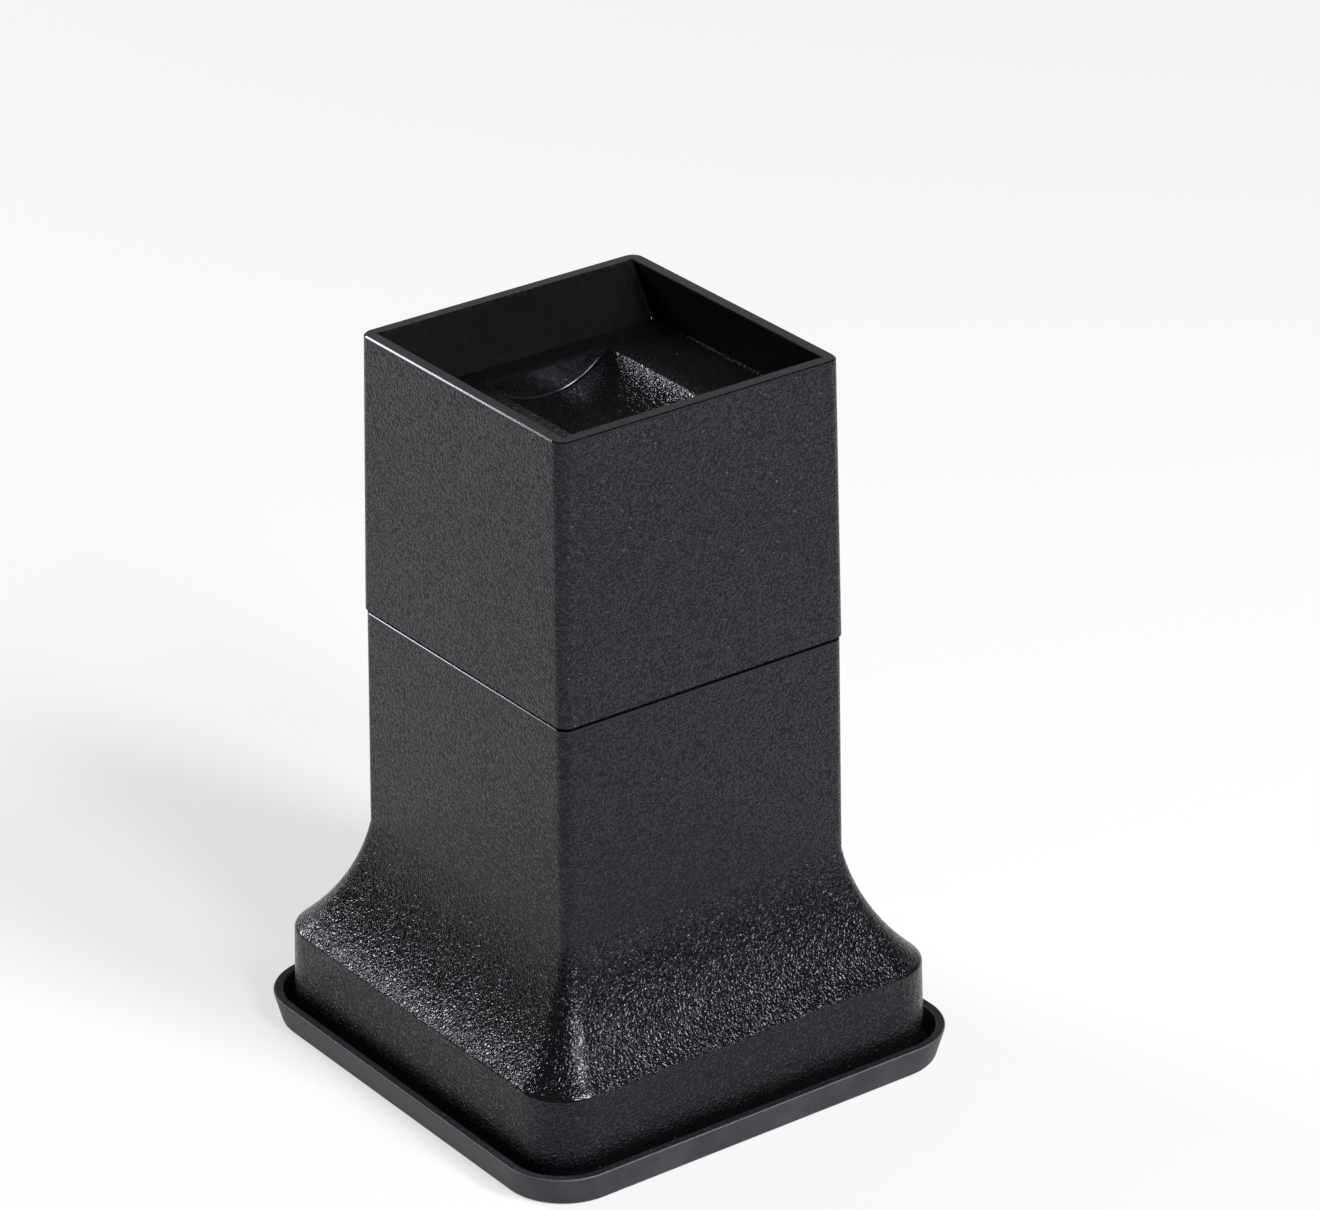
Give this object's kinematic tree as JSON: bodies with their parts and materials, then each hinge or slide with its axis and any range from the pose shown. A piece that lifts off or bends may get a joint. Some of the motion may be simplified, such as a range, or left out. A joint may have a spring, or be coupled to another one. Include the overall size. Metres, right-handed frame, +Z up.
{
  "type": "bed riser",
  "caption": "Square hollow bed riser: a column that flares to a wide skirt on a non-slip mat, with a stacked extension whose top socket takes a bed leg or caster.",
  "frame": {"origin": "middle of the mat's underside, on the floor", "axes": "+Z up through the column; X and Y square to the column's faces, with the wheel groove along Y"},
  "size_m": [0.141, 0.141, 0.204],
  "materials": {
    "moulded_plastic": "black, leather-grained",
    "mat_rubber": "black, smooth, matt"
  },
  "bodies": {
    "root": {"riser_extension": "moulded_plastic", "flared_base": "moulded_plastic", "non_slip_mat": "mat_rubber"}
  },
  "joints": []
}
